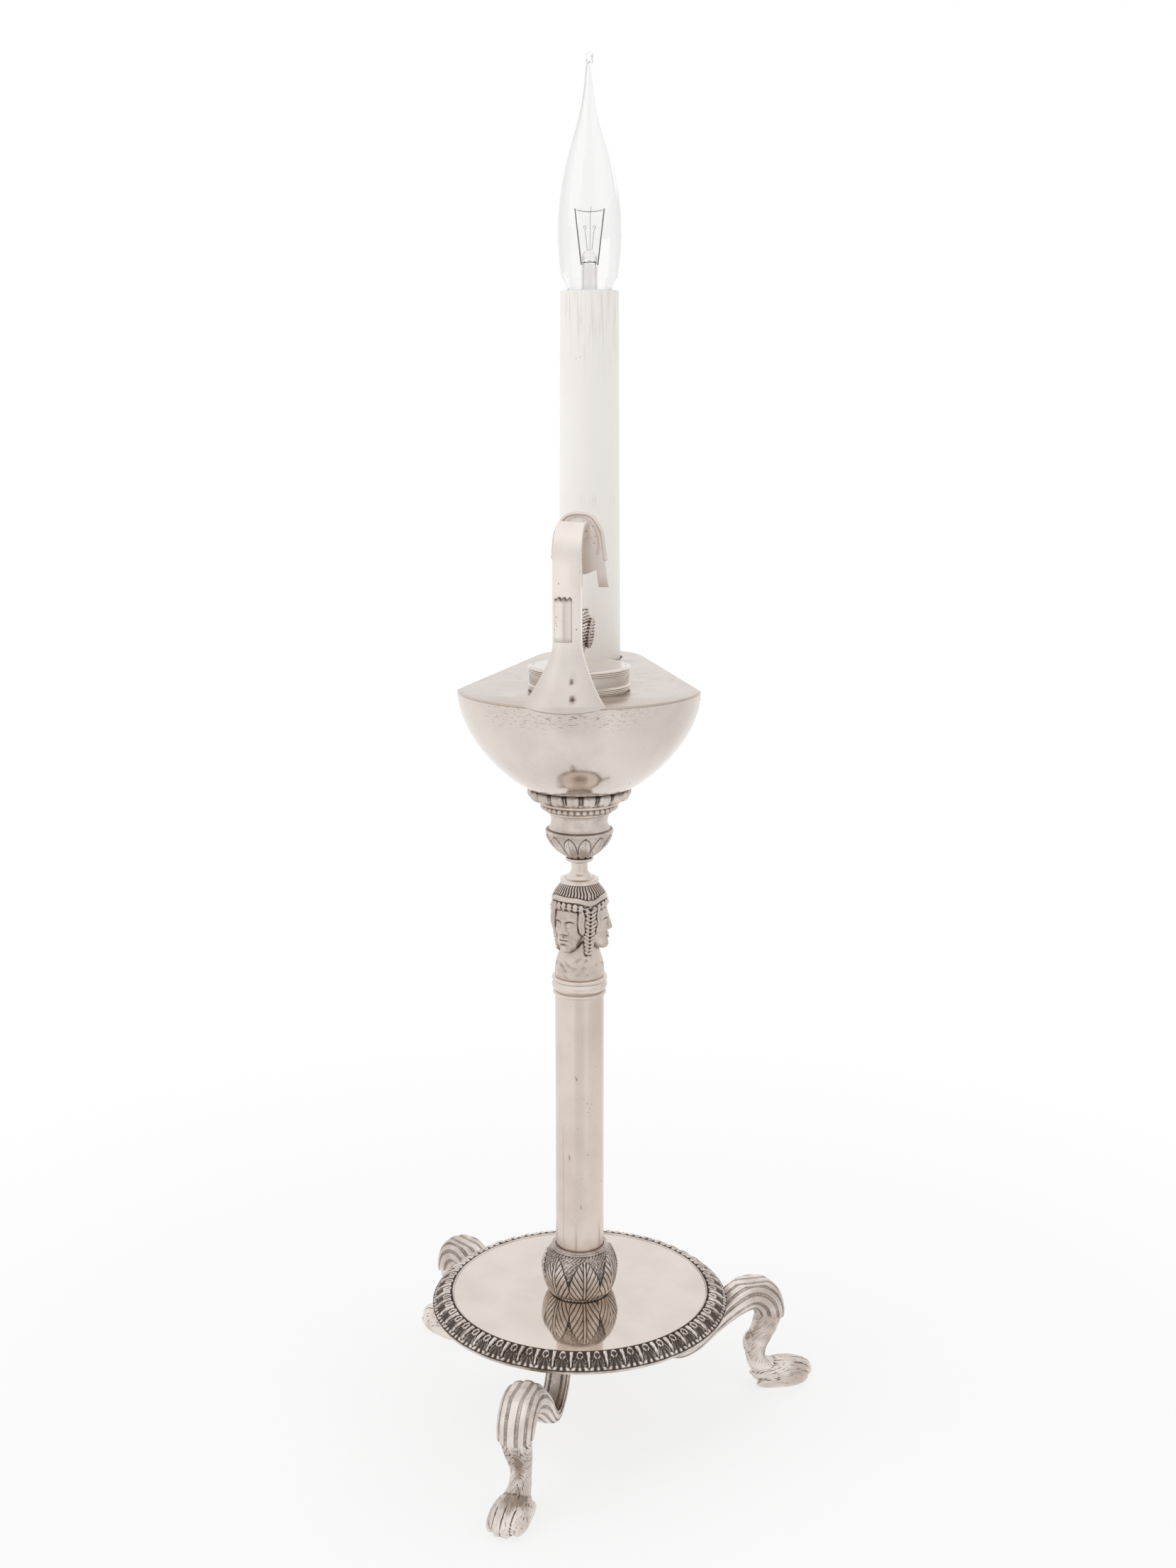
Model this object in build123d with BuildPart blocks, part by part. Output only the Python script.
from build123d import *
import os
from math import acos, atan2, cos, radians, sin, sqrt

# Table lamp in the form of an antique oil lamp. A three-legged stand carries a column, a bust with
# three faces, a leaf cup and a boat-shaped font with a lid and a strap handle. An electric candle
# with a flame-shaped bulb stands on the nozzle of the font.
# Millimetres, +Z up, origin on the floor under the column axis.

os.makedirs("parts", exist_ok=True)

# Fits
fit_gap = 0.1  # radial room where one fixed piece passes through another
slide_gap = 0.3  # room between pieces that move apart
bite = 0.5  # depth by which lobes and pads sink into their own body

# Turns about the column axis, in degrees
leg_turns = {"front": 270, "right": 30, "left": 150}
font_turn = 14.0
face_turns = (12, 132, 252)

# Plate of the stand
plate_height = 64.0  # floor to the underside of the plate
plate_radius = 77.0
plate_thickness = 4.0
disc_radius = 69.2
disc_thickness = 3.0
border_radius = 80.8
border_crest = 0.6  # rise of the border above the disc
border_rim = 2.6  # height of the border's outer edge

# Legs
pad_thickness = 3.0
pad_inner = 18.0
pad_outer = 38.0
strap_root = 33.0  # where the strap leaves its pad
strap_width = 13.5
strap_thickness = 6.0
dip_radius = 54.0  # lowest point of the strap
dip_height = 27.0
knee_radius = 97.5  # crown of the knee
knee_height = 58.0
knee_thickness = 19.0
knee_width = 18.5
shin_radius = 109.5  # end of the reeds on the front of the knee
shin_height = 42.0
shin_thickness = 15.0
shin_width = 15.0
hock_radius = 103.0
hock_height = 27.5
ankle_radius = 101.5
ankle_height = 18.5
ankle_thickness = 10.5
ankle_width = 9.8
paw_radius = 118.0  # middle of the paw
paw_length = 33.0
paw_width = 18.0
paw_height = 14.0
instep_setback = 10.0  # where the instep enters the paw, behind its middle
instep_fill = 0.8  # size of the instep against the paw
toe_reach = 136.3
toe_length = 21.0
toe_width = 6.4
toe_height = 13.0
toe_pitch = 4.6
toe_setback = 2.4  # how far the outer toes stand behind the inner ones
sole_cut = 0.5  # flat ground on the underside of the paw
corner_share = 0.44  # corner radius of a leg section against its smaller side

# Leg screws
screw_radius = 2.0
screw_head_radius = 3.6
screw_head_height = 2.2
screw_bite = 3.0  # depth in the plate
screw_place = 24.0  # distance from the column axis

# Tie rod under and inside the column
rod_radius = 5.0
rod_bore = 3.4
rod_tail = 14.0  # below the plate
rod_bite = 12.0  # above the foot of the bust
washer_radius = 14.0
washer_thickness = 1.6
nut_radius = 9.0  # half the width across corners
nut_height = 5.0
bush_flange_radius = 6.0
bush_flange_height = 2.5
bush_length = 8.0
bush_bore = 2.6

# Column
foot_height = 27.8
foot_base_radius = 16.3
foot_belly_radius = 20.6
foot_belly_height = 15.5
foot_mouth_radius = 14.8
foot_recess = 4.0
column_radius = 13.0
column_wall = 1.2
column_length = 147.2
collar_height = 10.0
collar_radius = 14.8
collar_bead = 2.4  # radius of the two rounded mouldings
collar_spigot = 6.0

# Bust with three faces
herm_height = 50.8
shoulder_radius = 13.8
shoulder_height = 8.0
neck_radius = 10.7
neck_height = 14.0
head_height = 33.0
head_width = 19.0
head_depth = 20.0
head_offset = 6.2  # middle of a head from the axis
head_level = 31.5  # middle of a head above the foot of the bust
hair_radius = 15.6
hair_level = 40.5
crown_radius = 10.4

# Spool and leaf cup
spool_height = 11.7
spool_radius = 10.1
spool_disc = 3.2
spool_neck = 4.1
spool_spigot_radius = 3.3
spool_spigot = 6.0
wire_bore = 2.0
cup_height = 26.3
cup_base_radius = 5.6
cup_belly_radius = 18.0
cup_belly_height = 15.0
cup_throat_radius = 15.4
cup_throat_height = 22.5
cup_mouth_radius = 16.2

# Beads and gadroons under the font
bead_height = 6.6
bead_ring_radius = 19.4
bead_count = 36
bead_size = 1.75
gadroon_height = 6.6
gadroon_ring_radius = 22.4
gadroon_count = 20
gadroon_size = 3.9
stud_radius = 4.0
stud_bite = 10.0  # depth in the leaf cup
stud_tail = 8.0  # height above the floor of the font
font_nut_radius = 7.5
font_nut_height = 4.0

# Font: plan of the deck in its own frame, nozzle along +y
hull_height = 50.4
hull_foot_radius = 26.0
hull_wall = 1.5
hull_floor = 2.0
hull_rise = 1.8  # roundness of the hull's side
hull_belly = 0.8
nozzle_belly = 0.62
font_half_width = 62.3
font_front = 58.0
font_corner = -6.0
nozzle_place = 110.0
nozzle_radius = 31.0
deck_thickness = 1.2
hull_levels = (0, 0.07, 0.18, 0.34, 0.54, 0.77, 1)

# Filler and lid
filler_radius = 24.4
filler_wall = 0.8
filler_height = 9.6
lid_radius = 26.4
lid_wall = 0.8
lid_height = 12.0
lid_top = 1.0
lid_band = 0.35  # depth of the plain band between the reeds
lid_reed = 2.6  # height of each group of reeds
finial_stem_radius = 3.0
finial_stem_height = 9.0
bird_width = 16.0
bird_depth = 15.0
bird_height = 19.0
bird_head = 13.4
finial_height = 29.4

# Handle
handle_turn = 10.0  # place of the strap around the axis, in degrees
handle_twist = 8.0  # turn of the handle about the foot of its strap
handle_strap = 14.0  # width
handle_thickness = 4.0
handle_face = 52.0  # outer face of the strap, from the axis
handle_rise = 76.4  # deck to the start of the curl
handle_curl = 12.0  # outer radius of the curl
curl_end = 22.0  # angle where the curl ends
fan_width = 40.0
fan_height = 29.0
fan_overhang = 2.6
fan_flare = 1.35  # how soon the fan widens towards its foot
fan_lean = 1.8  # how soon it leans out to the rim
fan_levels = (0, 0.3, 0.65, 1)
lip_drop = 3.0
lip_thickness = 1.8
panel_width = 8.5
panel_height = 22.0
panel_thickness = 1.1
panel_edge = 0.5
panel_level = 31.0  # deck to the foot of the panel
panel_shift = -1.4
leaf_curve = 38.0  # radius of the hood's dome
leaf_back = 30.0  # crown of the dome, from the axis
leaf_thickness = 1.4
leaf_width = 26.6
leaf_top = 92.4  # deck to the crown of the hood
leaf_shoulder = 70.4  # widest level
leaf_hem = 61.4
tab_root = 64.0
tab_foot = 55.1
tab_width = 4.6

# Candle
socket_depth = 8.0
socket_floor = 1.6
socket_gap = 0.6  # room around the foot of the tube
socket_wall = 1.6
deck_gap = 1.3  # dark ring around the tube in the deck
tube_place = 112.0
tube_length = 210.3
tube_foot_radius = 17.6
tube_top_radius = 16.1
tube_wall = 1.0
stem_radius = 5.0
stem_bore = 3.4
stem_tail = 8.0
stem_nut_radius = 8.0
stem_nut_height = 4.0

# Lamp holder
holder_sink = 6.0  # below the top of the tube
holder_height = 36.0
holder_radius = 13.0
holder_wall = 0.9
holder_boss_radius = 7.0
holder_boss_height = 9.0
core_floor = 4.0
contact_height = 1.0

# Bulb
cap_radius = 6.9
cap_wall = 0.4
cap_height = 22.0
insulator_height = 3.0
tip_contact_radius = 3.0
tip_contact_height = 1.2
glass_wall = 0.7
glass_sink = 6.0  # neck of the glass inside the cap
glass_neck = 6.0
glass_radius = 17.4
glass_bead = 1.7  # radius of the sealed tip
glass_height = 134.0  # top of the cap to the tip
press_height = 37.5
press_radius = 4.1
flare_radius = 4.6
support_radius = 0.35
support_spread = 8.0
support_height = 21.4
filament_radius = 0.25
filament_sag = 1.0

# Wiring
lead_radius = 1.4
lead_start = 2.0  # above the cord bush
lead_level = 22.0  # above the foot of the hull
lead_rise = 6.0  # rise towards the nozzle
lead_bend = 6.0

# Levels of the stack
plate_top = plate_height + plate_thickness
disc_top = plate_top + disc_thickness
foot_top = disc_top + foot_height
column_base = foot_top - foot_recess
collar_base = column_base + column_length
herm_base = collar_base + collar_height
spool_base = herm_base + herm_height
cup_base = spool_base + spool_height
bead_base = cup_base + cup_height
gadroon_base = bead_base + bead_height
hull_base = gadroon_base + gadroon_height
deck_base = hull_base + hull_height
deck_top = deck_base + deck_thickness
lid_base = deck_top + slide_gap
finial_base = lid_base + lid_height
socket_base = deck_base - socket_depth
tube_base = socket_base + socket_floor
tube_top = tube_base + tube_length
holder_top = tube_top - holder_sink
holder_base = holder_top - holder_height
core_base = holder_base + holder_wall
core_seat = core_base + core_floor
contact_top = core_seat + contact_height
bulb_base = contact_top + slide_gap
cap_base = bulb_base + tip_contact_height + insulator_height
cap_top = cap_base + cap_height
glass_base = cap_top - glass_sink
glass_tip = cap_top + glass_height
rod_base = plate_height - rod_tail
rod_top = herm_base + rod_bite
bush_top = rod_base + bush_length

# Frames of the font, which is turned on the column
nozzle_way = (-sin(radians(font_turn)), cos(radians(font_turn)), 0)
side_way = (cos(radians(font_turn)), sin(radians(font_turn)), 0)
font_side = Plane(origin=(0, 0, 0), x_dir=nozzle_way, z_dir=side_way)  # x to the nozzle, y up
candle_side = Plane(origin=font_side.from_local_coords((tube_place, 0, 0)), x_dir=nozzle_way, z_dir=side_way)
candle_front = Plane(origin=candle_side.origin, x_dir=side_way, z_dir=(-nozzle_way[0], -nozzle_way[1], 0))
candle_axis = Axis(candle_side.origin, (0, 0, 1))

# Frame of the handle, which stands a little beside the middle of the font and is twisted on its foot
strap_angle = radians(handle_turn)
handle_angle = radians(handle_turn - handle_twist)
handle_across = (cos(handle_angle), sin(handle_angle), 0)
handle_inward = (-sin(handle_angle), cos(handle_angle), 0)
handle_outward = (sin(handle_angle), -cos(handle_angle), 0)
handle_x = handle_face * (sin(strap_angle) - sin(handle_angle))
handle_y = handle_face * (cos(handle_angle) - cos(strap_angle))
handle_side = Plane(origin=(handle_x, handle_y, 0), x_dir=handle_inward, z_dir=handle_across)  # y up


def font_level(height):
    """Level plane at a height, turned with the font."""
    return Plane(origin=(0, 0, height), x_dir=side_way, z_dir=(0, 0, 1))


def candle_level(height):
    """Level plane at a height, centred on the candle."""
    return Plane(origin=candle_side.from_local_coords((0, height, 0)), x_dir=side_way, z_dir=(0, 0, 1))


def handle_level(height):
    """Level plane at a height, in the frame of the handle."""
    return Plane(origin=(handle_x, handle_y, height), x_dir=handle_across, z_dir=(0, 0, 1))


def ring_face(inner, outer, bottom, top):
    """Rectangle beside the axis, which a revolve turns into a ring or a disc."""
    Polygon((inner, bottom), (outer, bottom), (outer, top), (inner, top), align=None)


def taper_face(lower, upper, bottom, top):
    """Tapered strip beside the axis, given by its inner and outer radius at both ends."""
    Polygon((lower[0], bottom), (lower[1], bottom), (upper[1], top), (upper[0], top), align=None)


def font_outline(width, front, corner, centre, radius, mode):
    """Boat plan: an arc in front, two straight sides and a round nozzle end."""
    reach = sqrt(width**2 + (centre - corner) ** 2)
    aim = atan2(corner - centre, width) + acos(radius / reach)
    touch = (radius * cos(aim), centre + radius * sin(aim))
    with BuildLine() as outline:
        ThreePointArc((width, corner), (0, -front), (-width, corner))
        Line((-width, corner), (-touch[0], touch[1]))
        ThreePointArc((-touch[0], touch[1]), (0, centre + radius), touch)
        Line(touch, (width, corner))
    make_face(outline.edges(), mode=mode)


def hull_outline(level, inset, mode=Mode.ADD):
    """Plan of the hull at a level from 0 at its foot to 1 at the deck, drawn in by an inset."""
    fullness = 1 - (1 - level) ** hull_rise
    side = fullness**hull_belly
    nose = fullness**nozzle_belly
    tip = hull_foot_radius + (nozzle_place + nozzle_radius - hull_foot_radius) * nose
    end_radius = hull_foot_radius - 1 + (nozzle_radius - hull_foot_radius + 1) * nose
    width = hull_foot_radius + (font_half_width - hull_foot_radius) * side
    front = hull_foot_radius + (font_front - hull_foot_radius) * side
    corner = font_corner * side
    font_outline(width - inset, front - inset, corner, tip - end_radius, end_radius - inset, mode)


# Base plate, with blind holes for the leg screws
with BuildPart() as base_plate:
    with BuildSketch(Plane.XZ):
        ring_face(rod_radius + fit_gap, plate_radius, plate_height, plate_top)
    revolve(axis=Axis.Z)
    for turn in leg_turns.values():
        place = (screw_place * cos(radians(turn)), screw_place * sin(radians(turn)))
        with BuildSketch(Plane.XY.offset(plate_height)):
            with Locations(place):
                Circle(screw_radius + fit_gap)
        extrude(amount=screw_bite, mode=Mode.SUBTRACT)
base_plate.part.label = "base_plate"
export_step(base_plate.part, "parts/base_plate.step")

# Polished disc laid on the plate
with BuildPart() as top_disc:
    with BuildSketch(Plane.XZ):
        ring_face(rod_radius + fit_gap, disc_radius, plate_top, disc_top)
    revolve(axis=Axis.Z)
top_disc.part.label = "top_disc"
export_step(top_disc.part, "parts/top_disc.step")

# Sloping border around the disc, with a lip over the edge of the plate
with BuildPart() as plate_border:
    with BuildSketch(Plane.XZ):
        with BuildLine():
            Polyline(
                (disc_radius + fit_gap, plate_top),
                (plate_radius + fit_gap, plate_top),
                (plate_radius + fit_gap, plate_height),
                (border_radius, plate_height),
                (border_radius, plate_height + border_rim),
                (disc_radius + 2 * disc_thickness, disc_top + border_crest),
                (disc_radius + fit_gap, disc_top + border_crest),
                close=True,
            )
        make_face()
    revolve(axis=Axis.Z)
plate_border.part.label = "plate_border"
export_step(plate_border.part, "parts/plate_border.step")

# Legs: a strap that dips under the plate, a thick knee, a slim ankle and a lion's paw
strap_top = plate_height - pad_thickness
leg_line = [  # reach, height, thickness, width
    (strap_root, strap_top + bite, strap_thickness, strap_width),
    (strap_root + 0.25 * (dip_radius - strap_root), dip_height + 0.5 * (strap_top - dip_height),
     strap_thickness, strap_width),
    (strap_root + 0.55 * (dip_radius - strap_root), dip_height + 0.2 * (strap_top - dip_height),
     strap_thickness, strap_width),
    (dip_radius, dip_height, 1.1 * strap_thickness, strap_width),
    (dip_radius + 0.26 * (knee_radius - dip_radius), dip_height + 0.14 * (knee_height - dip_height),
     0.25 * knee_thickness + 0.65 * strap_thickness, 0.5 * (strap_width + knee_width)),
    (dip_radius + 0.62 * (knee_radius - dip_radius), dip_height + 0.66 * (knee_height - dip_height),
     0.75 * knee_thickness, knee_width),
    (knee_radius, knee_height, knee_thickness, knee_width),
    (knee_radius + 0.75 * (shin_radius - knee_radius), knee_height - 0.3 * (knee_height - shin_height),
     0.5 * (knee_thickness + shin_thickness), knee_width),
    (shin_radius, shin_height, shin_thickness, shin_width),
    (hock_radius, hock_height, 0.5 * (shin_thickness + ankle_thickness), 0.5 * (shin_width + ankle_width)),
    (ankle_radius, ankle_height, ankle_thickness, ankle_width),
]
instep_line = [  # from the ankle down into the paw
    leg_line[-1],
    (paw_radius - instep_setback, 0.5 * paw_height, instep_fill * paw_height, instep_fill * paw_width),
]
paw_form = scale(Sphere(0.5), by=(paw_length, paw_width, paw_height))
toe_form = scale(Sphere(0.5), by=(toe_length, toe_width, toe_height))

for name, turn in leg_turns.items():
    outward = (cos(radians(turn)), sin(radians(turn)), 0)
    across = (-sin(radians(turn)), cos(radians(turn)), 0)
    level_frame = Plane(origin=(0, 0, 0), x_dir=outward, z_dir=(0, 0, 1))
    with BuildPart() as leg:
        for index, (reach, height, thickness, width) in enumerate(leg_line):
            before = leg_line[max(index - 1, 0)]
            after = leg_line[min(index + 1, len(leg_line) - 1)]
            run, rise = after[0] - before[0], after[1] - before[1]
            if index == 0:
                run = 0
            way = level_frame.from_local_coords((run, 0, rise)) - level_frame.origin
            station = level_frame.from_local_coords((reach, 0, height))
            with BuildSketch(Plane(origin=station, x_dir=across, z_dir=way)):
                RectangleRounded(width, thickness, corner_share * min(width, thickness))
        loft()
        instep_way = level_frame.from_local_coords((1, 0, -1)) - level_frame.origin
        for (reach, height, thickness, width), face_way in zip(instep_line, (way, instep_way)):
            station = level_frame.from_local_coords((reach, 0, height))
            with BuildSketch(Plane(origin=station, x_dir=across, z_dir=face_way)):
                RectangleRounded(width, thickness, corner_share * min(width, thickness))
        loft()
        add(paw_form.moved(Plane(
            origin=level_frame.from_local_coords((paw_radius, 0, paw_height / 2 - sole_cut)),
            x_dir=outward, z_dir=(0, 0, 1)).location))
        for step in (-1.5, -0.5, 0.5, 1.5):
            setback = toe_setback if abs(step) > 1 else 0
            toe_spot = (toe_reach - toe_length / 2 - setback, step * toe_pitch, toe_height / 2 - sole_cut)
            add(toe_form.moved(Plane(
                origin=level_frame.from_local_coords(toe_spot), x_dir=outward, z_dir=(0, 0, 1)).location))
        with BuildSketch(Plane(origin=(0, 0, strap_top), x_dir=outward, z_dir=(0, 0, 1))):
            with Locations(((pad_inner + pad_outer) / 2, 0)):
                Rectangle(pad_outer - pad_inner, strap_width)
        extrude(amount=pad_thickness)
        with BuildSketch(Plane(origin=(0, 0, strap_top), x_dir=outward, z_dir=(0, 0, 1))):
            with Locations((screw_place, 0)):
                Circle(screw_radius + fit_gap)
        extrude(amount=pad_thickness, mode=Mode.SUBTRACT)
        split(bisect_by=Plane.XY, keep=Keep.TOP)
    leg.part.label = f"{name}_leg"
    export_step(leg.part, f"parts/{name}_leg.step")

# Three screws that hold the leg pads to the plate
with BuildPart() as leg_screws:
    for turn in leg_turns.values():
        place = (screw_place * cos(radians(turn)), screw_place * sin(radians(turn)))
        with BuildSketch(Plane.XY.offset(strap_top - screw_head_height)):
            with Locations(place):
                Circle(screw_head_radius)
        extrude(amount=screw_head_height)
        with BuildSketch(Plane.XY.offset(strap_top)):
            with Locations(place):
                Circle(screw_radius)
        extrude(amount=pad_thickness + screw_bite)
leg_screws.part.label = "leg_screws"
export_step(leg_screws.part, "parts/leg_screws.step")

# Hollow tie rod, with the washer and nut that draw the column onto the plate
with BuildPart() as tie_rod:
    with BuildSketch(Plane.XZ):
        ring_face(rod_bore, rod_radius, rod_base, rod_top)
    revolve(axis=Axis.Z)
tie_rod.part.label = "tie_rod"
export_step(tie_rod.part, "parts/tie_rod.step")

with BuildPart() as base_washer:
    with BuildSketch(Plane.XZ):
        ring_face(rod_radius + fit_gap, washer_radius, plate_height - washer_thickness, plate_height)
    revolve(axis=Axis.Z)
base_washer.part.label = "base_washer"
export_step(base_washer.part, "parts/base_washer.step")

with BuildPart() as base_nut:
    with BuildSketch(Plane.XY.offset(plate_height - washer_thickness - nut_height)):
        RegularPolygon(nut_radius, 6)
        Circle(rod_radius + fit_gap, mode=Mode.SUBTRACT)
    extrude(amount=nut_height)
base_nut.part.label = "base_nut"
export_step(base_nut.part, "parts/base_nut.step")

# Flanged bush in the lower end of the rod, where the mains lead would enter
with BuildPart() as cord_bush:
    with BuildSketch(Plane.XZ):
        ring_face(bush_bore, bush_flange_radius, rod_base - bush_flange_height, rod_base)
        ring_face(bush_bore, rod_bore - fit_gap, rod_base, bush_top)
    revolve(axis=Axis.Z)
cord_bush.part.label = "cord_bush"
export_step(cord_bush.part, "parts/cord_bush.step")

# Bulbous foot of the column, recessed for the tube
with BuildPart() as column_foot:
    with BuildSketch(Plane.XZ):
        with BuildLine():
            Spline(
                (foot_base_radius, disc_top),
                (foot_belly_radius, disc_top + foot_belly_height),
                (foot_mouth_radius, foot_top),
            )
            Polyline(
                (foot_mouth_radius, foot_top),
                (column_radius + fit_gap, foot_top),
                (column_radius + fit_gap, column_base),
                (rod_radius + fit_gap, column_base),
                (rod_radius + fit_gap, disc_top),
                (foot_base_radius, disc_top),
            )
        make_face()
    revolve(axis=Axis.Z)
column_foot.part.label = "column_foot"
export_step(column_foot.part, "parts/column_foot.step")

with BuildPart() as column_tube:
    with BuildSketch(Plane.XZ):
        ring_face(column_radius - column_wall, column_radius, column_base, collar_base)
    revolve(axis=Axis.Z)
column_tube.part.label = "column_tube"
export_step(column_tube.part, "parts/column_tube.step")

# Collar of two rounded mouldings, with a spigot in the tube
with BuildPart() as column_collar:
    with BuildSketch(Plane.XZ):
        ring_face(rod_radius + fit_gap, collar_radius - collar_bead, collar_base, herm_base)
        ring_face(rod_radius + fit_gap, column_radius - column_wall - fit_gap,
                  collar_base - collar_spigot, collar_base)
        with Locations(
            (collar_radius - collar_bead, collar_base + collar_bead),
            (collar_radius - collar_bead, herm_base - collar_bead),
        ):
            Circle(collar_bead)
    revolve(axis=Axis.Z)
column_collar.part.label = "column_collar"
export_step(column_collar.part, "parts/column_collar.step")

# Bust: shoulders and neck on the axis, three heads back to back under one cap of hair
head_form = scale(Sphere(0.5), by=(head_depth, head_width, head_height))
with BuildPart() as herm_bust:
    with BuildSketch(Plane.XZ):
        with BuildLine():
            Polyline(
                (0, herm_base),
                (shoulder_radius, herm_base),
                (0.97 * shoulder_radius, herm_base + 0.6 * shoulder_height),
                (0.9 * shoulder_radius, herm_base + shoulder_height),
                (neck_radius, herm_base + neck_height),
                (neck_radius, herm_base + head_level),
                (hair_radius, herm_base + hair_level - 0.25 * (herm_height - hair_level)),
                (hair_radius, herm_base + hair_level),
                (0.8 * hair_radius, spool_base - 0.2 * (herm_height - hair_level)),
                (crown_radius, spool_base),
                (0, spool_base),
                close=True,
            )
        make_face()
    revolve(axis=Axis.Z)
    for turn in face_turns:
        outward = (cos(radians(turn)), sin(radians(turn)), 0)
        middle = (head_offset * outward[0], head_offset * outward[1], herm_base + head_level)
        add(head_form.moved(Plane(origin=middle, x_dir=outward, z_dir=(0, 0, 1)).location))
    with BuildSketch(Plane.XZ):
        ring_face(0, rod_radius + fit_gap, herm_base, rod_top)
        ring_face(0, wire_bore, rod_top, spool_base)
        ring_face(0, spool_spigot_radius + fit_gap, spool_base - spool_spigot, spool_base)
    revolve(axis=Axis.Z, mode=Mode.SUBTRACT)
herm_bust.part.label = "herm_bust"
export_step(herm_bust.part, "parts/herm_bust.step")

# Turned spool between the bust and the cup, with a spigot at each end
neck_base = spool_base + spool_disc
with BuildPart() as capital_spool:
    with BuildSketch(Plane.XZ):
        with BuildLine():
            Line((wire_bore, spool_base), (spool_radius, spool_base))
            ThreePointArc(
                (spool_radius, spool_base),
                (0.92 * spool_radius, spool_base + 0.7 * spool_disc),
                (0.7 * spool_radius, neck_base),
            )
            ThreePointArc(
                (0.7 * spool_radius, neck_base),
                (spool_neck, 0.5 * (neck_base + cup_base)),
                (cup_base_radius, cup_base),
            )
            Polyline((cup_base_radius, cup_base), (wire_bore, cup_base), (wire_bore, spool_base))
        make_face()
        ring_face(wire_bore, spool_spigot_radius, spool_base - spool_spigot, spool_base)
        ring_face(wire_bore, spool_spigot_radius, cup_base, cup_base + spool_spigot)
    revolve(axis=Axis.Z)
capital_spool.part.label = "capital_spool"
export_step(capital_spool.part, "parts/capital_spool.step")

# Leaf cup with a plain throat, drilled for the spool and for the font stud
belly_level = cup_base + cup_belly_height
throat_level = cup_base + cup_throat_height
with BuildPart() as leaf_cup:
    with BuildSketch(Plane.XZ):
        with BuildLine():
            Line((0, cup_base), (cup_base_radius, cup_base))
            ThreePointArc(
                (cup_base_radius, cup_base),
                (0.78 * cup_belly_radius, cup_base + 0.52 * cup_belly_height),
                (cup_belly_radius, belly_level),
            )
            ThreePointArc(
                (cup_belly_radius, belly_level),
                (0.4 * cup_belly_radius + 0.6 * cup_throat_radius, 0.5 * (belly_level + throat_level)),
                (cup_throat_radius, throat_level),
            )
            Polyline((cup_throat_radius, throat_level), (cup_mouth_radius, bead_base), (0, bead_base),
                     (0, cup_base))
        make_face()
    revolve(axis=Axis.Z)
    with BuildSketch(Plane.XZ):
        ring_face(0, wire_bore, cup_base, bead_base)
        ring_face(0, spool_spigot_radius + fit_gap, cup_base, cup_base + spool_spigot)
        ring_face(0, stud_radius + fit_gap, bead_base - stud_bite, bead_base)
    revolve(axis=Axis.Z, mode=Mode.SUBTRACT)
leaf_cup.part.label = "leaf_cup"
export_step(leaf_cup.part, "parts/leaf_cup.step")

# Ring of beads
with BuildPart() as bead_ring:
    with BuildSketch(Plane.XZ):
        taper_face(
            (stud_radius + fit_gap, cup_mouth_radius),
            (stud_radius + fit_gap, bead_ring_radius + bead_size),
            bead_base,
            gadroon_base,
        )
    revolve(axis=Axis.Z)
    with Locations(Plane.XY.offset(0.5 * (bead_base + gadroon_base))):
        with PolarLocations(bead_ring_radius, bead_count):
            Sphere(bead_size)
bead_ring.part.label = "bead_ring"
export_step(bead_ring.part, "parts/bead_ring.step")

# Ring of gadroons that carries the font
with BuildPart() as gadroon_ring:
    with BuildSketch(Plane.XZ):
        ring_face(stud_radius + fit_gap, gadroon_ring_radius, gadroon_base, hull_base)
    revolve(axis=Axis.Z)
    with Locations(Plane.XY.offset(0.5 * (gadroon_base + hull_base))):
        with PolarLocations(gadroon_ring_radius, gadroon_count):
            Sphere(gadroon_size)
    split(bisect_by=Plane.XY.offset(gadroon_base), keep=Keep.TOP)
    split(bisect_by=Plane.XY.offset(hull_base), keep=Keep.BOTTOM)
gadroon_ring.part.label = "gadroon_ring"
export_step(gadroon_ring.part, "parts/gadroon_ring.step")

# Hollow stud and nut that hold the font to the cup
stud_top = hull_base + hull_floor + stud_tail
with BuildPart() as font_stud:
    with BuildSketch(Plane.XZ):
        ring_face(wire_bore, stud_radius, bead_base - stud_bite, stud_top)
    revolve(axis=Axis.Z)
font_stud.part.label = "font_stud"
export_step(font_stud.part, "parts/font_stud.step")

with BuildPart() as font_nut:
    with BuildSketch(Plane.XY.offset(hull_base + hull_floor)):
        RegularPolygon(font_nut_radius, 6)
        Circle(stud_radius + fit_gap, mode=Mode.SUBTRACT)
    extrude(amount=font_nut_height)
font_nut.part.label = "font_nut"
export_step(font_nut.part, "parts/font_nut.step")

# Hull of the font: a round foot that swells into the boat plan of the deck
with BuildPart() as font_hull:
    for level in hull_levels:
        with BuildSketch(font_level(hull_base + level * hull_height)):
            hull_outline(level, 0)
    loft()
    floor_share = hull_floor / hull_height
    for level in hull_levels:
        inner_level = floor_share + (1 - floor_share) * level
        with BuildSketch(font_level(hull_base + inner_level * hull_height)):
            hull_outline(inner_level, hull_wall)
    loft(mode=Mode.SUBTRACT)
    with BuildSketch(Plane.XY.offset(hull_base)):
        Circle(stud_radius + fit_gap)
    extrude(amount=hull_floor, mode=Mode.SUBTRACT)
font_hull.part.label = "font_hull"
export_step(font_hull.part, "parts/font_hull.step")

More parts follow.
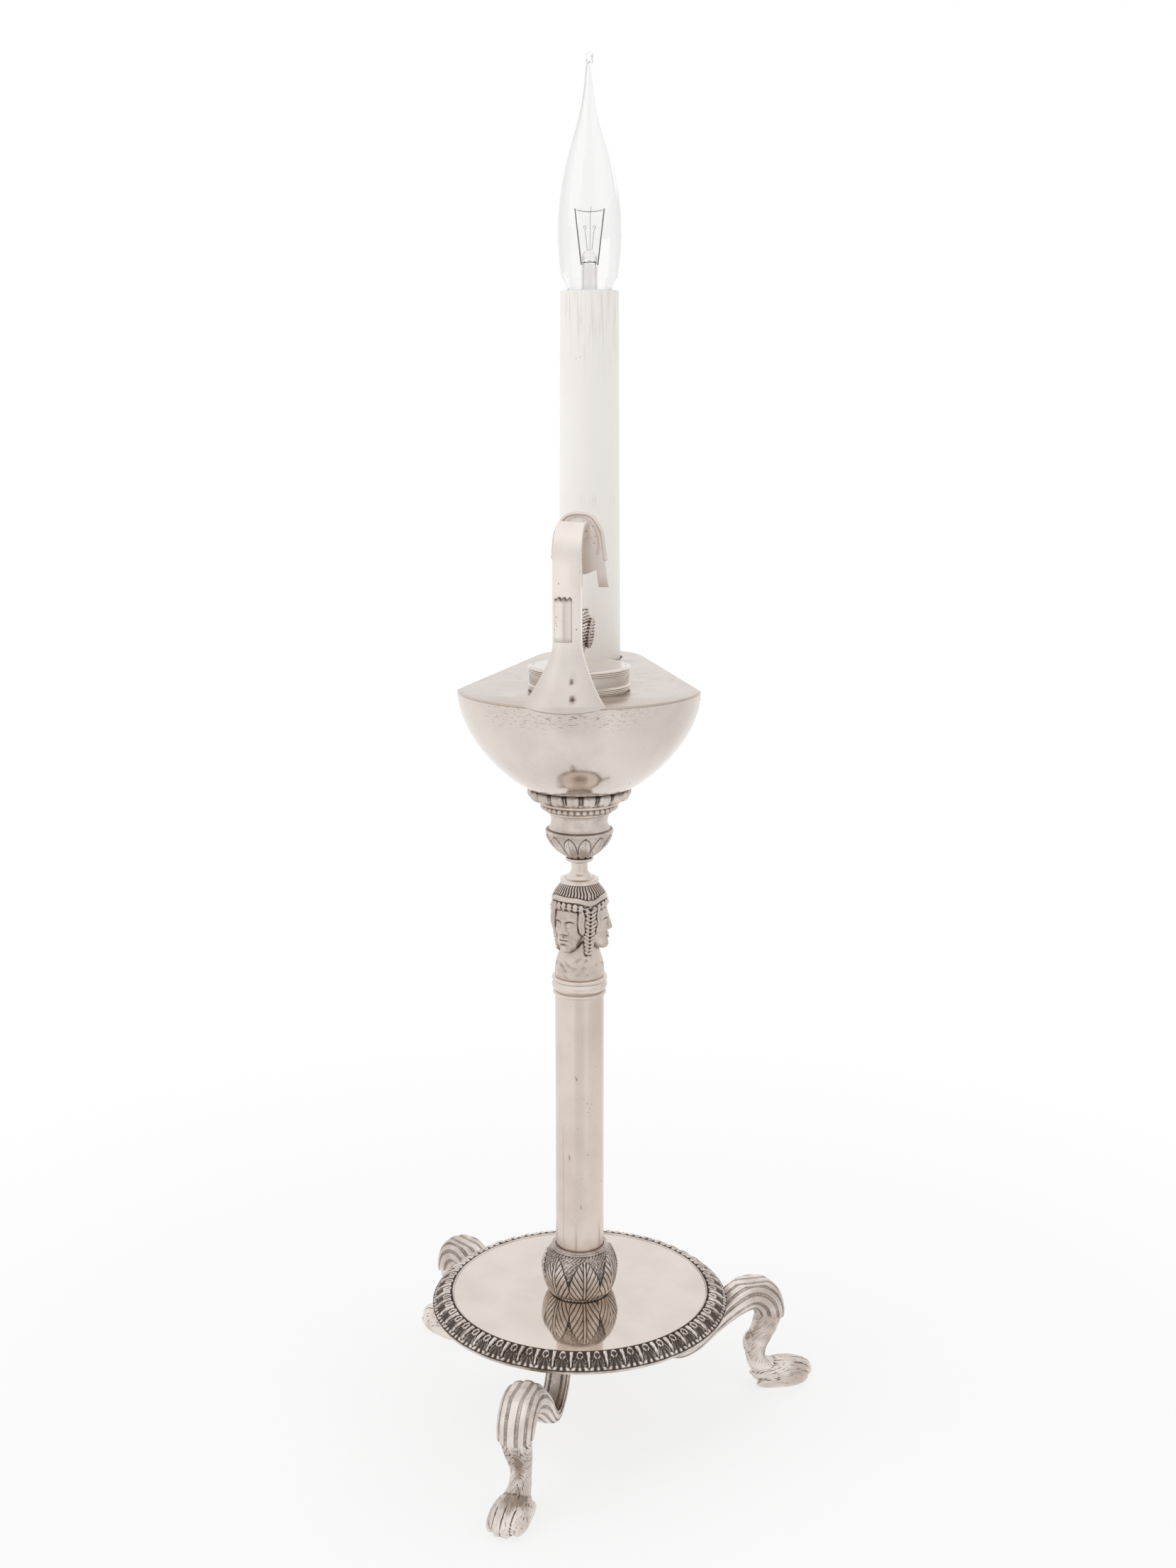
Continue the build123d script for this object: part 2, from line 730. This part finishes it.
# Flat deck, open at the filler and at the candle
with BuildPart() as font_deck:
    with BuildSketch(font_level(deck_base)):
        hull_outline(1, 0)
        Circle(filler_radius, mode=Mode.SUBTRACT)
        with Locations((0, tube_place)):
            Circle(tube_foot_radius + deck_gap, mode=Mode.SUBTRACT)
    extrude(amount=deck_thickness)
font_deck.part.label = "font_deck"
export_step(font_deck.part, "parts/font_deck.step")

# Filler collar on the deck
filler_outer = lid_radius - lid_wall - slide_gap
with BuildPart() as filler_collar:
    with BuildSketch(Plane.XZ):
        ring_face(filler_outer - filler_wall, filler_outer, deck_top, deck_top + filler_height)
    revolve(axis=Axis.Z)
filler_collar.part.label = "filler_collar"
export_step(filler_collar.part, "parts/filler_collar.step")

# Slip lid with a group of reeds at its top and foot
with BuildPart() as lid:
    with BuildSketch(Plane.XZ):
        ring_face(lid_radius - lid_wall, lid_radius - lid_band, lid_base, finial_base)
        ring_face(lid_radius - lid_wall, lid_radius, lid_base, lid_base + lid_reed)
        ring_face(lid_radius - lid_wall, lid_radius, finial_base - lid_reed, finial_base)
        ring_face(0, lid_radius - lid_wall, finial_base - lid_top, finial_base)
    revolve(axis=Axis.Z)
lid.part.label = "lid"
export_step(lid.part, "parts/lid.step")

# Small bird on a stem as the knob of the lid, looking to the nozzle
bird_top = finial_base + finial_height
body_form = scale(Sphere(0.5), by=(bird_width, bird_depth, bird_height))
with BuildPart() as lid_finial:
    with BuildSketch(Plane.XZ):
        ring_face(0, finial_stem_radius, finial_base, finial_base + finial_stem_height + bird_height / 2)
    revolve(axis=Axis.Z)
    body_middle = (0, 0, finial_base + finial_stem_height + bird_height / 2 - bite)
    add(body_form.moved(Plane(origin=body_middle, x_dir=side_way, z_dir=(0, 0, 1)).location))
    with Locations((0, 0, bird_top - bird_head / 2)):
        Sphere(bird_head / 2)
lid_finial.part.label = "lid_finial"
export_step(lid_finial.part, "parts/lid_finial.step")

# Strap handle: a fan bent along the rim, which it laps over, a flat strap and a curl that meets the hood
dome_level = deck_top + 0.5 * (leaf_top + leaf_hem)
dome_centre = handle_side.from_local_coords((leaf_curve - leaf_back, dome_level, 0))
curl_level = deck_top + handle_rise
curl_centre = (handle_curl - handle_face, curl_level)
curl_inner = handle_curl - handle_thickness
strap_inner = handle_thickness - handle_face
fan_top = deck_top + fan_height
end_x, end_y = cos(radians(curl_end)), sin(radians(curl_end))
rim_place = (font_half_width**2 + font_corner**2 - font_front**2) / (2 * (font_front + font_corner))
rim_centre = handle_level(0).to_local_coords(font_side.from_local_coords((rim_place, 0, 0)))
rim_foot = font_level(0).to_local_coords(handle_side.from_local_coords((-font_front, 0, 0)))


def fan_reach(across, level):
    """Outer face of the fan at a place across it and a level from 0 at its foot to 1 at the strap."""
    rim = sqrt((font_front + rim_place + fan_overhang) ** 2 - (across - rim_centre.X) ** 2) - rim_centre.Y
    return handle_face + (rim - handle_face) * (1 - level) ** fan_lean


with BuildPart() as handle:
    for level in fan_levels:
        half = handle_strap / 2 + (fan_width - handle_strap) / 2 * (1 - level) ** fan_flare
        reach = [fan_reach(across, level) for across in (-half, 0, half)]
        inner = [place - handle_thickness for place in reach]
        with BuildSketch(handle_level(deck_top + level * fan_height)):
            with BuildLine():
                Spline((-half, -reach[0]), (0, -reach[1]), (half, -reach[2]))
                Line((half, -reach[2]), (half, -inner[2]))
                Spline((half, -inner[2]), (0, -inner[1]), (-half, -inner[0]))
                Line((-half, -inner[0]), (-half, -reach[0]))
            make_face()
    loft()
    with BuildSketch(handle_side):
        with BuildLine():
            Line((-handle_face, fan_top), (-handle_face, curl_level))
            CenterArc(curl_centre, handle_curl, 180, curl_end - 180)
            Line(
                (curl_centre[0] + handle_curl * end_x, curl_level + handle_curl * end_y),
                (curl_centre[0] + curl_inner * end_x, curl_level + curl_inner * end_y),
            )
            CenterArc(curl_centre, curl_inner, curl_end, 180 - curl_end)
            Polyline((strap_inner, curl_level), (strap_inner, fan_top), (-handle_face, fan_top))
        make_face()
    extrude(amount=handle_strap / 2, both=True)
    with BuildSketch(font_level(deck_top - lip_drop)):
        hull_outline(1, -fit_gap - lip_thickness)
        hull_outline(1, -fit_gap, Mode.SUBTRACT)
        with Locations((rim_foot.X, rim_foot.Y)):
            Rectangle(fan_width - 2 * bite, font_front, rotation=handle_turn - handle_twist - font_turn,
                      mode=Mode.INTERSECT)
    extrude(amount=lip_drop + bite)
    with Locations(dome_centre):
        Sphere(leaf_curve + fit_gap, mode=Mode.SUBTRACT)
handle.part.label = "handle"
export_step(handle.part, "parts/handle.step")

# Two-faceted plate on the outer face of the strap
with BuildPart() as handle_panel:
    with BuildSketch(handle_level(deck_top + panel_level)):
        with BuildLine():
            Polyline(
                (panel_shift - panel_width / 2, -handle_face),
                (panel_shift - panel_width / 2, -handle_face - panel_edge),
                (panel_shift, -handle_face - panel_thickness),
                (panel_shift + panel_width / 2, -handle_face - panel_edge),
                (panel_shift + panel_width / 2, -handle_face),
                close=True,
            )
        make_face()
    extrude(amount=panel_height)
handle_panel.part.label = "handle_panel"
export_step(handle_panel.part, "parts/handle_panel.step")

# Hooded leaf with two hanging tabs, cut from a domed sheet
leaf_half = leaf_width / 2
crown = deck_top + leaf_top - dome_level
shoulder = deck_top + leaf_shoulder - dome_level
hem = deck_top + leaf_hem - dome_level
tab_head = deck_top + tab_root - dome_level
tab_end = deck_top + tab_foot - dome_level
tab_inner = leaf_half - tab_width
leaf_shares = [(0.51, 0.09), (0.73, 0.29), (0.87, 0.50), (0.94, 0.75)]  # of its half width, below the crown
leaf_edge = [(leaf_half * wide, crown - (crown - shoulder) * low) for wide, low in leaf_shares]
with BuildPart() as handle_leaf:
    with BuildSketch(Plane(origin=dome_centre, x_dir=handle_across, z_dir=handle_outward)):
        with BuildLine():
            Spline((0, crown), *leaf_edge, (leaf_half, shoulder), tangents=((1, 0), (0.1, -1)))
            Polyline((leaf_half, shoulder), (leaf_half, tab_end), (tab_inner, tab_end), (tab_inner, tab_head))
            ThreePointArc((tab_inner, tab_head), (0.5 * tab_inner, 0.3 * tab_head + 0.7 * hem), (0, hem))
            mirror(about=Plane.YZ)
        make_face()
    extrude(amount=leaf_curve)
    with Locations(dome_centre):
        Sphere(leaf_curve, mode=Mode.INTERSECT)
        Sphere(leaf_curve - leaf_thickness, mode=Mode.SUBTRACT)
handle_leaf.part.label = "handle_leaf"
export_step(handle_leaf.part, "parts/handle_leaf.step")

# Cup under the deck that seats the candle tube
socket_bore = tube_foot_radius + socket_gap
with BuildPart() as tube_socket:
    with BuildSketch(candle_side):
        ring_face(stem_radius + fit_gap, socket_bore + socket_wall, socket_base, tube_base)
        ring_face(socket_bore, socket_bore + socket_wall, tube_base, deck_base)
    revolve(axis=candle_axis)
tube_socket.part.label = "tube_socket"
export_step(tube_socket.part, "parts/tube_socket.step")

# Tapered candle tube
with BuildPart() as candle_tube:
    with BuildSketch(candle_side):
        taper_face(
            (tube_foot_radius - tube_wall, tube_foot_radius),
            (tube_top_radius - tube_wall, tube_top_radius),
            tube_base,
            tube_top,
        )
    revolve(axis=candle_axis)
candle_tube.part.label = "candle_tube"
export_step(candle_tube.part, "parts/candle_tube.step")

# Hollow stem that carries the lamp holder, with its nut under the socket
with BuildPart() as holder_stem:
    with BuildSketch(candle_side):
        ring_face(stem_bore, stem_radius, socket_base - stem_tail, holder_base)
    revolve(axis=candle_axis)
holder_stem.part.label = "holder_stem"
export_step(holder_stem.part, "parts/holder_stem.step")

with BuildPart() as stem_nut:
    with BuildSketch(candle_level(socket_base - stem_nut_height)):
        RegularPolygon(stem_nut_radius, 6)
        Circle(stem_radius + fit_gap, mode=Mode.SUBTRACT)
    extrude(amount=stem_nut_height)
stem_nut.part.label = "stem_nut"
export_step(stem_nut.part, "parts/stem_nut.step")

# Lamp holder: a metal shell screwed on the stem, a ceramic core and a centre contact
with BuildPart() as lamp_holder:
    with BuildSketch(candle_side):
        ring_face(stem_bore, holder_radius, holder_base, core_base)
        ring_face(holder_radius - holder_wall, holder_radius, core_base, holder_top)
        ring_face(stem_radius + fit_gap, holder_boss_radius, holder_base - holder_boss_height, holder_base)
    revolve(axis=candle_axis)
lamp_holder.part.label = "lamp_holder"
export_step(lamp_holder.part, "parts/lamp_holder.step")

core_radius = holder_radius - holder_wall - fit_gap
with BuildPart() as holder_core:
    with BuildSketch(candle_side):
        ring_face(stem_bore, core_radius, core_base, core_seat)
        ring_face(cap_radius + slide_gap, core_radius, core_seat, holder_top)
    revolve(axis=candle_axis)
holder_core.part.label = "holder_core"
export_step(holder_core.part, "parts/holder_core.step")

with BuildPart() as holder_contact:
    with BuildSketch(candle_side):
        ring_face(0, stem_bore - fit_gap, core_base, core_seat)
        ring_face(0, cap_radius - slide_gap, core_seat, contact_top)
    revolve(axis=candle_axis)
holder_contact.part.label = "holder_contact"
export_step(holder_contact.part, "parts/holder_contact.step")

# Screw cap of the bulb, with its insulator and tip contact
with BuildPart() as bulb_contact:
    with BuildSketch(candle_side):
        ring_face(0, tip_contact_radius, bulb_base, bulb_base + tip_contact_height)
    revolve(axis=candle_axis)
bulb_contact.part.label = "bulb_contact"
export_step(bulb_contact.part, "parts/bulb_contact.step")

with BuildPart() as bulb_insulator:
    with BuildSketch(candle_side):
        taper_face(
            (0, tip_contact_radius),
            (0, cap_radius - cap_wall),
            bulb_base + tip_contact_height,
            cap_base,
        )
    revolve(axis=candle_axis)
bulb_insulator.part.label = "bulb_insulator"
export_step(bulb_insulator.part, "parts/bulb_insulator.step")

with BuildPart() as bulb_cap:
    with BuildSketch(candle_side):
        ring_face(0, cap_radius, cap_base, cap_base + cap_wall)
        ring_face(cap_radius - cap_wall, cap_radius, cap_base + cap_wall, cap_top)
    revolve(axis=candle_axis)
bulb_cap.part.label = "bulb_cap"
export_step(bulb_cap.part, "parts/bulb_cap.step")

# Flame-shaped glass: outline as shares of the largest radius and of the height above the cap
glass_shares = [(0.64, 0.055), (0.83, 0.11), (1, 0.265), (0.935, 0.43), (0.69, 0.595), (0.44, 0.70),
                (0.235, 0.81), (0.135, 0.92)]
hollow_share = 0.81  # the long tip above this is solid


def glass_line(inset, share_end):
    """Outline of the glass from its neck, drawn in by an inset, up to a share of its height."""
    points = [(glass_neck - inset, cap_top)]
    for wide, high in glass_shares:
        if high <= share_end:
            points.append((glass_radius * wide - inset, cap_top + glass_height * high))
    return points


outer_line = glass_line(0, 1) + [(glass_bead, glass_tip - glass_bead)]
inner_line = glass_line(glass_wall, hollow_share)
with BuildPart() as bulb_glass:
    with BuildSketch(candle_side):
        with BuildLine():
            Line((glass_neck, glass_base), outer_line[0])
            Spline(*outer_line, tangents=((0, 1), (0, 1)))
            CenterArc((0, glass_tip - glass_bead), glass_bead, 0, 90)
            Polyline((0, glass_tip), (0, inner_line[-1][1]), inner_line[-1])
            Spline(*inner_line, tangents=((0, 1), (-0.2, 1)))
            Polyline(inner_line[0], (glass_neck - glass_wall, glass_base), (glass_neck, glass_base))
        make_face()
    revolve(axis=candle_axis)
bulb_glass.part.label = "bulb_glass"
export_step(bulb_glass.part, "parts/bulb_glass.step")

# Glass mount inside the bulb
press_top = glass_base + press_height
with BuildPart() as bulb_stem:
    with BuildSketch(candle_side):
        with BuildLine():
            Polyline(
                (0, glass_base),
                (flare_radius, glass_base),
                (flare_radius, cap_top),
                (press_radius, press_top - press_radius),
                (0.6 * press_radius, press_top),
                (0, press_top),
                close=True,
            )
        make_face()
    revolve(axis=candle_axis)
bulb_stem.part.label = "bulb_stem"
export_step(bulb_stem.part, "parts/bulb_stem.step")

# Two support wires that splay from the mount, and the filament between their tips
post_place = press_radius + support_radius + fit_gap
post_foot = press_top - 2 * press_radius
post_top = press_top + support_height
with BuildPart() as filament_supports:
    for side in (-1, 1):
        foot = candle_side.from_local_coords((0, post_foot, side * post_place))
        tip = candle_side.from_local_coords((0, post_top, side * support_spread))
        with BuildSketch(Plane(origin=foot, x_dir=nozzle_way, z_dir=tip - foot)):
            Circle(support_radius)
        extrude(amount=(tip - foot).length)
filament_supports.part.label = "filament_supports"
export_step(filament_supports.part, "parts/filament_supports.step")

filament_end = support_spread - 2 * support_radius - fit_gap
filament_level = post_top - 2 * support_radius
with BuildPart() as filament:
    with BuildLine(candle_front) as filament_path:
        ThreePointArc((-filament_end, filament_level), (0, filament_level - filament_sag),
                      (filament_end, filament_level))
    with BuildSketch(Plane(origin=filament_path.line @ 0, z_dir=filament_path.line % 0)):
        Circle(filament_radius)
    sweep()
filament.part.label = "filament"
export_step(filament.part, "parts/filament.step")

# Two-core lead from above the cord bush through the column and the font to the lamp holder
lead_floor = hull_base + lead_level
with BuildPart() as lead_wires:
    with BuildLine(font_side) as lead_route:
        FilletPolyline(
            (0, bush_top + lead_start),
            (0, lead_floor),
            (tube_place, lead_floor + lead_rise),
            (tube_place, core_base - holder_wall),
            radius=lead_bend,
        )
    with BuildSketch(Plane(origin=lead_route.line @ 0, z_dir=lead_route.line % 0)):
        Circle(lead_radius)
    sweep()
lead_wires.part.label = "lead_wires"
export_step(lead_wires.part, "parts/lead_wires.step")
